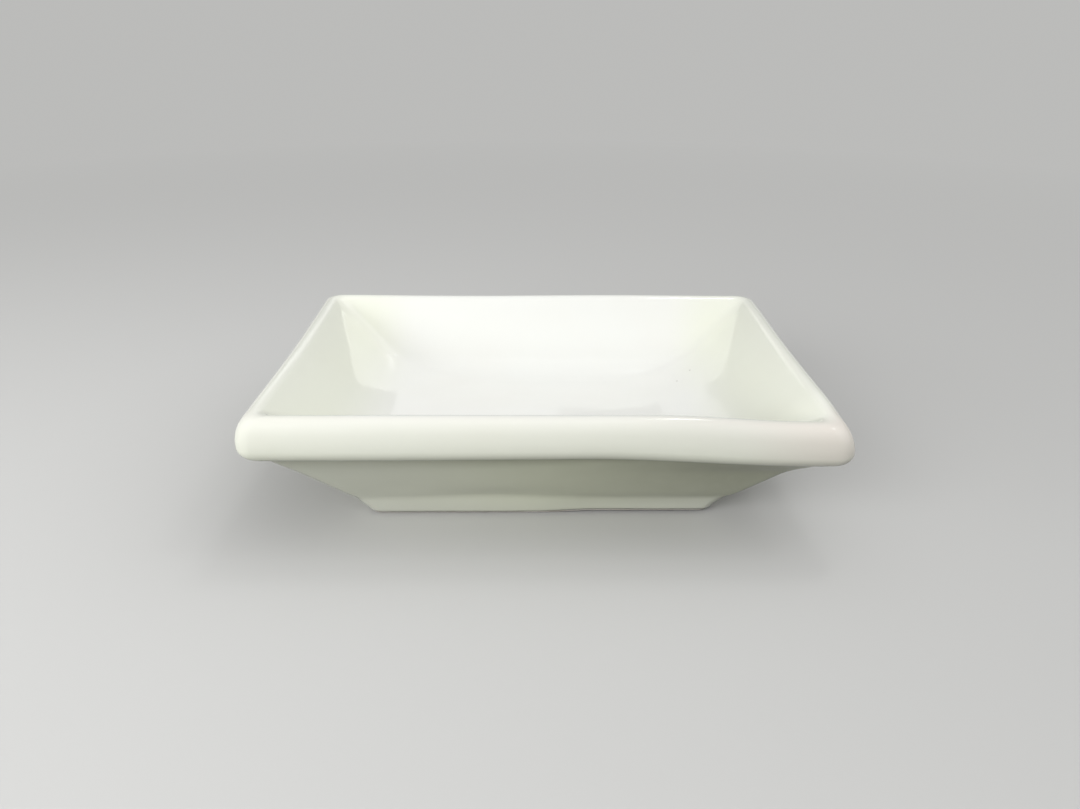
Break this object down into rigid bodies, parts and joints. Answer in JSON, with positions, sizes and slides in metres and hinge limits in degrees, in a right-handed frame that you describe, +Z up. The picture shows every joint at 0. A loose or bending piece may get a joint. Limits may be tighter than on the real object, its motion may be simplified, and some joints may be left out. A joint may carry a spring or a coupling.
{
  "type": "soy sauce dish",
  "caption": "Small rectangular soy sauce dish in white glazed porcelain, with a flared well, a rolled rim band, slanted outer walls and a low foot ring to stand on.",
  "frame": {"origin": "middle of the foot ring's standing face, on the table", "axes": "+X along the dish, +Y to its back as pictured, +Z up"},
  "size_m": [0.095, 0.0644, 0.023],
  "materials": {
    "bare_porcelain": "matte unglazed fired porcelain on the foot's face",
    "white_glaze": "glossy white glaze, very slightly warm"
  },
  "bodies": {
    "root": {"porcelain_body": "bare_porcelain", "glaze_coat": "white_glaze", "base_glaze": "white_glaze"}
  },
  "joints": []
}
